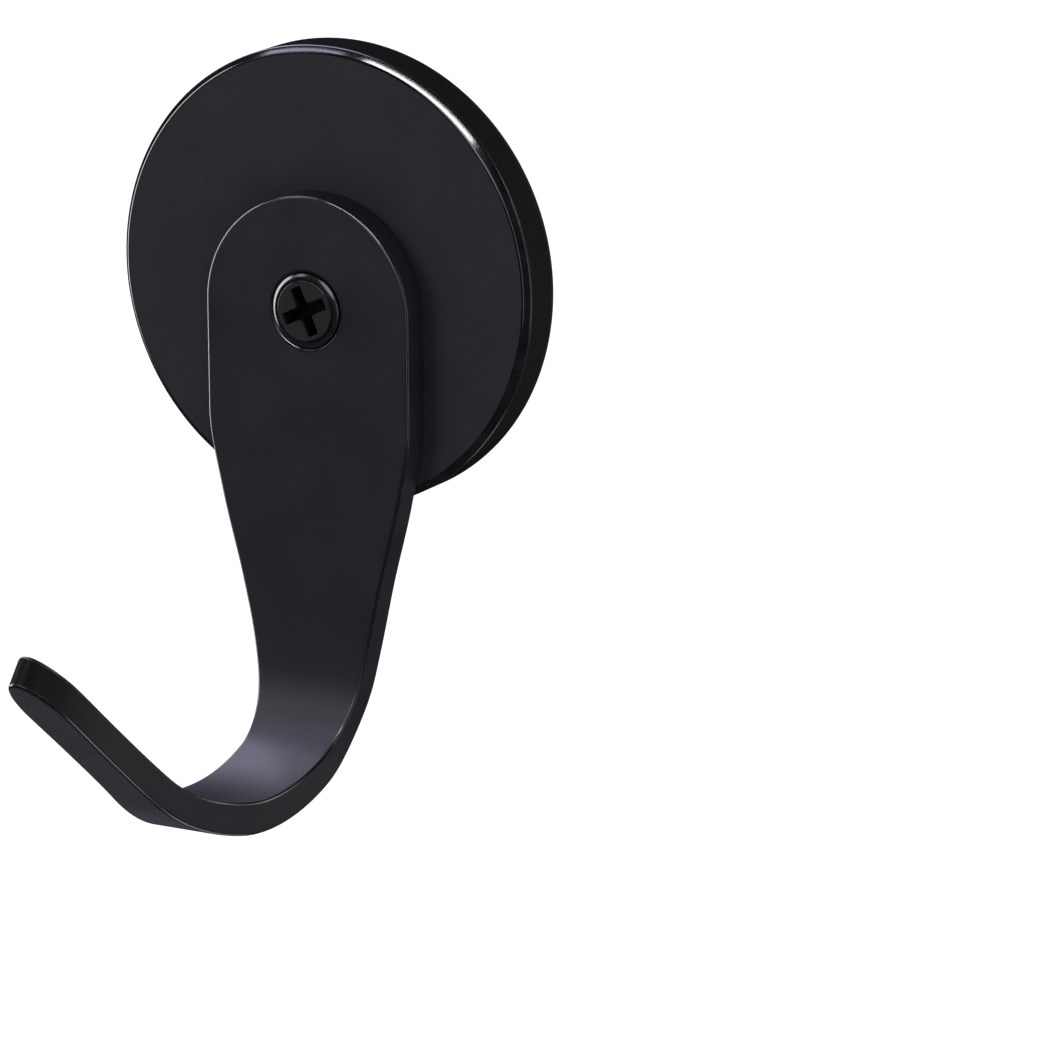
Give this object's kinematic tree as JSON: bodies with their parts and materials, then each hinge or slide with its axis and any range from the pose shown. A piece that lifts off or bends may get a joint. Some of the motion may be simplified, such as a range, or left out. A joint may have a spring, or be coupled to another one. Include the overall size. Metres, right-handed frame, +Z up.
{
  "type": "magnetic wreath hanger hook",
  "caption": "Black magnetic door hook: a round rubber covered magnet with a flat tapered strap screwed to its front and bent forward and up into a hook with a round tip.",
  "frame": {"origin": "centre of the magnet's flat back face, which lies on the door", "axes": "+Z up along the strap, -Y forward from the door towards the hook's tip, +X to the right seen from the front"},
  "size_m": [0.043, 0.057, 0.0687],
  "materials": {
    "cover_rubber": "matt black rubber with a smooth glossy chamfer",
    "pad_rubber": "matt, finely textured",
    "plate_steel": "zinc plated",
    "bush_steel": "zinc plated",
    "magnet_nickel": "nickel plated",
    "screw_black": "satin black",
    "strap_black": "matt black powder coat"
  },
  "bodies": {
    "base": {"rubber_cover": "cover_rubber", "grip_pad": "pad_rubber", "backing_plate": "plate_steel", "threaded_bush": "bush_steel", "magnet_1": "magnet_nickel", "magnet_2": "magnet_nickel", "magnet_3": "magnet_nickel", "magnet_4": "magnet_nickel", "magnet_5": "magnet_nickel", "magnet_6": "magnet_nickel", "magnet_7": "magnet_nickel", "magnet_8": "magnet_nickel"},
    "hook": {"hook_strap": "strap_black"},
    "screw": {"clamp_screw": "screw_black"}
  },
  "joints": [
    {"name": "hook_swivel", "type": "hinge", "parent": "base", "child": "hook", "pos_m": [0, 0, -0.0024], "axis": [0, -1, 0], "continuous": true},
    {"name": "screw_turn", "type": "hinge", "parent": "base", "child": "screw", "pos_m": [0, 0, -0.0024], "axis": [0, -1, 0], "range_deg": [0, 90]}
  ]
}
